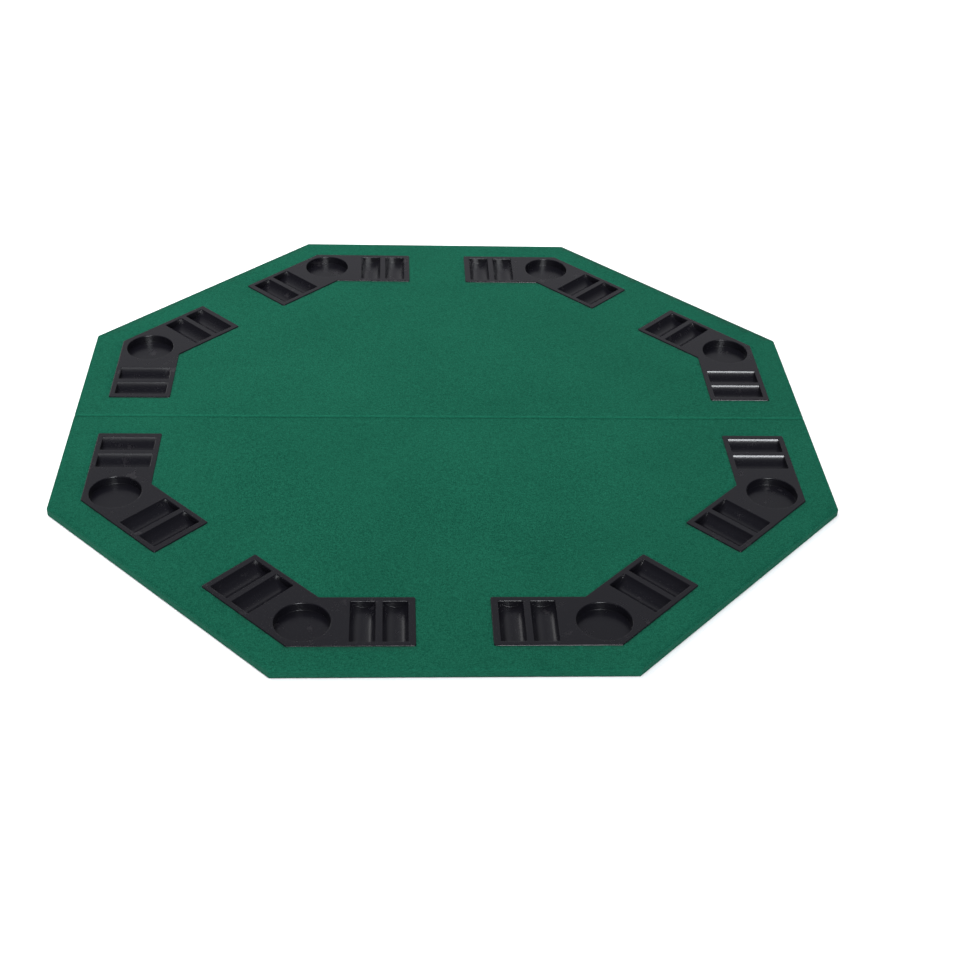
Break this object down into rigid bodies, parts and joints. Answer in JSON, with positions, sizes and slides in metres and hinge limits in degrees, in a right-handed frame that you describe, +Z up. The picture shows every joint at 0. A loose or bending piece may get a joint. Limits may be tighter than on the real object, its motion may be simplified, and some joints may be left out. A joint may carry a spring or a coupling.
{
  "type": "folding poker table top",
  "caption": "Octagonal padded card table top that folds in half along one cloth hinge, with moulded cup and chip trays let into its corners.",
  "frame": {"origin": "middle of the octagon, on the underside that it rests on", "axes": "+Z up out of the cloth, +X along the fold to the right, +Y from the front half to the rear half"},
  "size_m": [1.22, 1.22, 0.0155],
  "materials": {
    "playing_cloth": "matte",
    "padding_foam": "matte",
    "fibreboard": "matte",
    "backing": "matte",
    "hinge_tape": "matte",
    "tray_plastic": "satin",
    "staple_wire": "satin"
  },
  "bodies": {
    "front_half": {"front_board": "fibreboard", "front_foam": "padding_foam", "front_cloth": "playing_cloth", "cloth_crease": "playing_cloth", "hinge_tape": "hinge_tape", "front_backing": "backing", "front_staples": "staple_wire", "left_front_tray": "tray_plastic", "front_left_tray": "tray_plastic", "front_right_tray": "tray_plastic", "right_front_tray": "tray_plastic"},
    "rear_half": {"rear_board": "fibreboard", "rear_foam": "padding_foam", "rear_cloth": "playing_cloth", "rear_backing": "backing", "rear_staples": "staple_wire", "right_rear_tray": "tray_plastic", "rear_right_tray": "tray_plastic", "rear_left_tray": "tray_plastic", "left_rear_tray": "tray_plastic"}
  },
  "joints": [
    {"name": "fold", "type": "hinge", "parent": "front_half", "child": "rear_half", "pos_m": [0, 0, 0.01575], "axis": [1, 0, 0], "range_deg": [0, 180], "deforming": ["cloth_crease", "hinge_tape"]}
  ]
}
